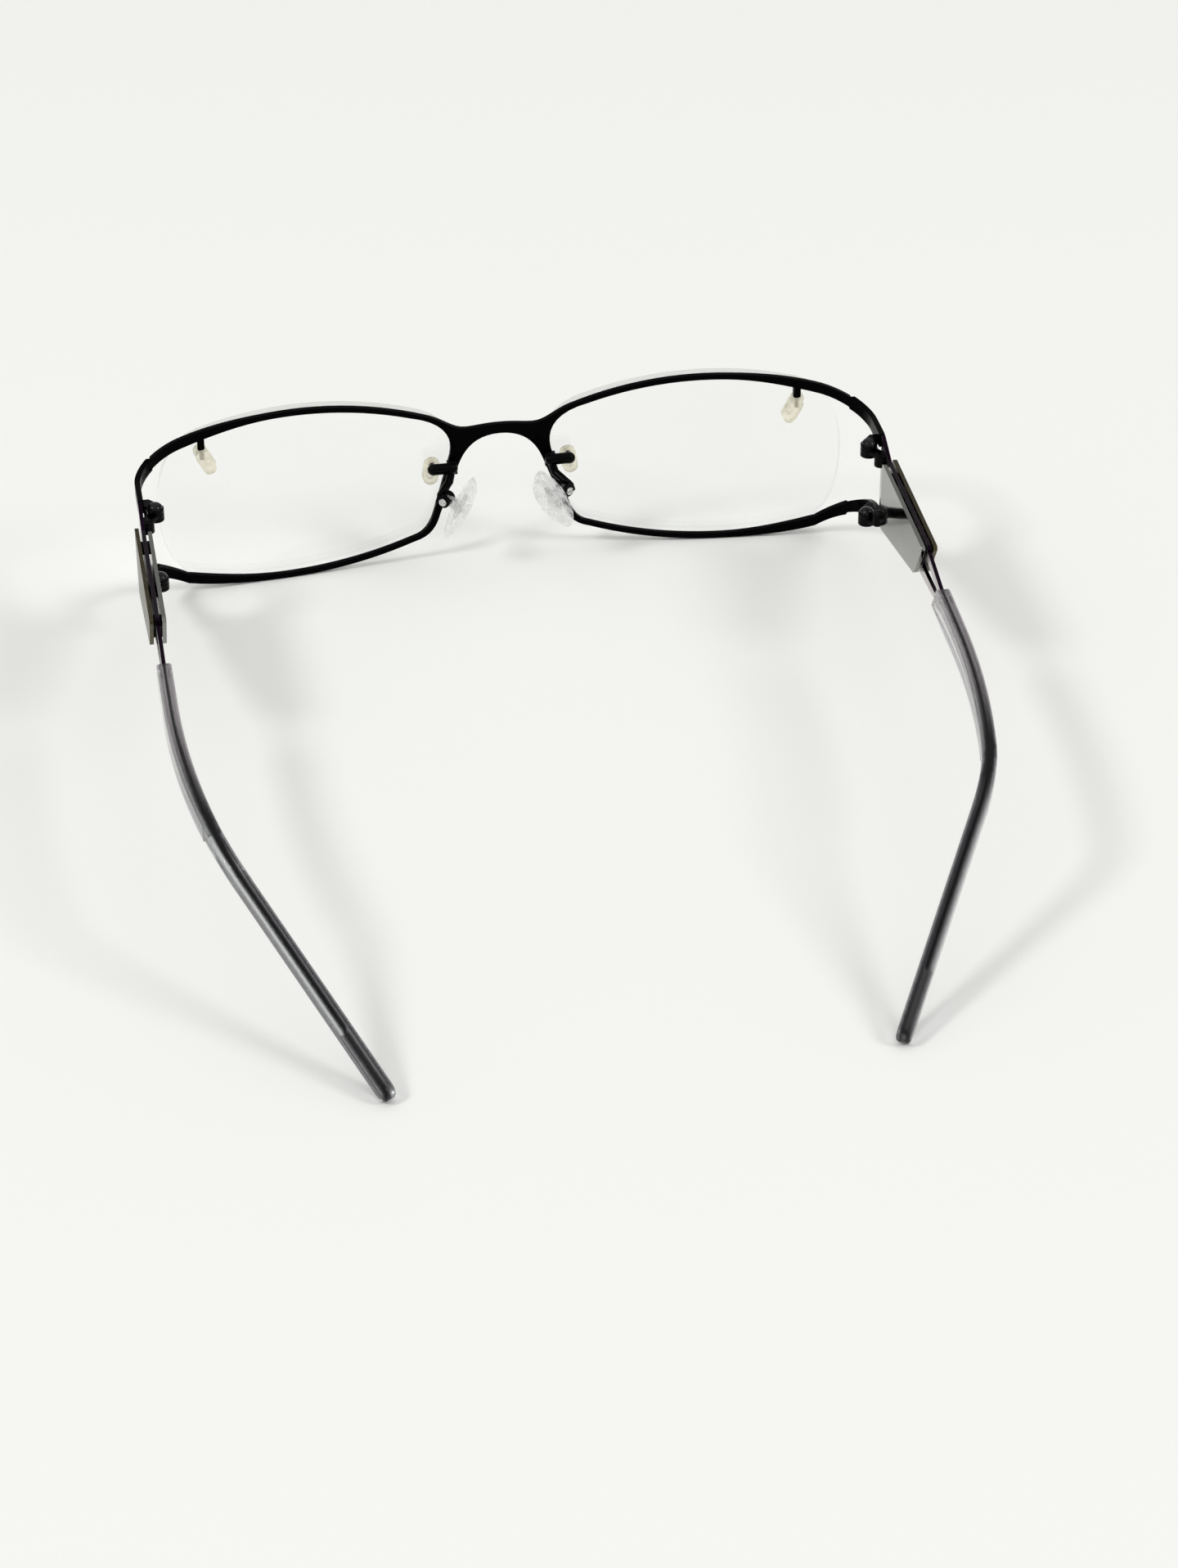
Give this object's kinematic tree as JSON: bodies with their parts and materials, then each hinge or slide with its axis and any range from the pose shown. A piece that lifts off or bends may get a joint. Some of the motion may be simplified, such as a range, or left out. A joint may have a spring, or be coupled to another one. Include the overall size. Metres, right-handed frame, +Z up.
{
  "type": "eyeglasses",
  "caption": "Open wrap-style eyeglasses with a flat-cut black metal front, clear lenses on the front of open rims, laminated metal temples and bent acetate ear pieces.",
  "frame": {"origin": "on the table below the middle of the glasses' box, as they stand open on the lens bottoms and the temple tips", "axes": "+X towards the wearer's right, +Y forward out of the front, +Z up from the table"},
  "size_m": [0.1382, 0.1551, 0.0343],
  "materials": {
    "satin_black": "satin",
    "gloss_black": "gloss",
    "lens": "clear",
    "clear_plastic": "clear, slightly yellow",
    "pad_silicone": "clear",
    "steel": "bright",
    "polished_steel": "polished",
    "purple_black": "satin",
    "olive_metal": "brushed",
    "acetate": "smoky, polished"
  },
  "bodies": {
    "front": {"front_frame": "satin_black", "lens_right": "lens", "lens_left": "lens", "bushing_temporal_right": "clear_plastic", "bushing_temporal_left": "clear_plastic", "bushing_nasal_right": "clear_plastic", "bushing_nasal_left": "clear_plastic", "pad_arm_right": "gloss_black", "pad_arm_left": "gloss_black", "hinge_upper_front_leaf_right": "gloss_black", "hinge_upper_front_leaf_left": "gloss_black", "hinge_lower_front_leaf_right": "gloss_black", "hinge_lower_front_leaf_left": "gloss_black", "hinge_screws_right": "gloss_black", "hinge_screws_left": "gloss_black", "pad_screws": "steel"},
    "temple_right": {"temple_core_right": "purple_black", "temple_outer_plate_right": "olive_metal", "temple_inner_plate_right": "polished_steel", "temple_spacers_right": "gloss_black", "temple_acetate_right": "acetate", "hinge_upper_temple_leaf_right": "gloss_black", "hinge_lower_temple_leaf_right": "gloss_black"},
    "temple_left": {"temple_core_left": "purple_black", "temple_outer_plate_left": "olive_metal", "temple_inner_plate_left": "polished_steel", "temple_spacers_left": "gloss_black", "temple_acetate_left": "acetate", "hinge_upper_temple_leaf_left": "gloss_black", "hinge_lower_temple_leaf_left": "gloss_black"},
    "pad_right": {"nose_pad_right": "pad_silicone", "pad_insert_right": "steel"},
    "pad_left": {"nose_pad_left": "pad_silicone", "pad_insert_left": "steel"}
  },
  "joints": [
    {"name": "temple_right_fold", "type": "hinge", "parent": "front", "child": "temple_right", "pos_m": [0.065, 0.05441, 0.02011], "axis": [0, -0.0804, -0.9968], "range_deg": [0, 82]},
    {"name": "temple_left_fold", "type": "hinge", "parent": "front", "child": "temple_left", "pos_m": [-0.065, 0.05441, 0.02011], "axis": [0, 0.0804, 0.9968], "range_deg": [0, 88]},
    {"name": "pad_right_rock", "type": "hinge", "parent": "front", "child": "pad_right", "pos_m": [0.011, 0.06831, 0.01578], "axis": [-0.5736, 0.8165, -0.0658], "range_deg": [-8, 8]},
    {"name": "pad_left_rock", "type": "hinge", "parent": "front", "child": "pad_left", "pos_m": [-0.011, 0.06831, 0.01578], "axis": [0.5736, 0.8165, -0.0658], "range_deg": [-8, 8]}
  ]
}
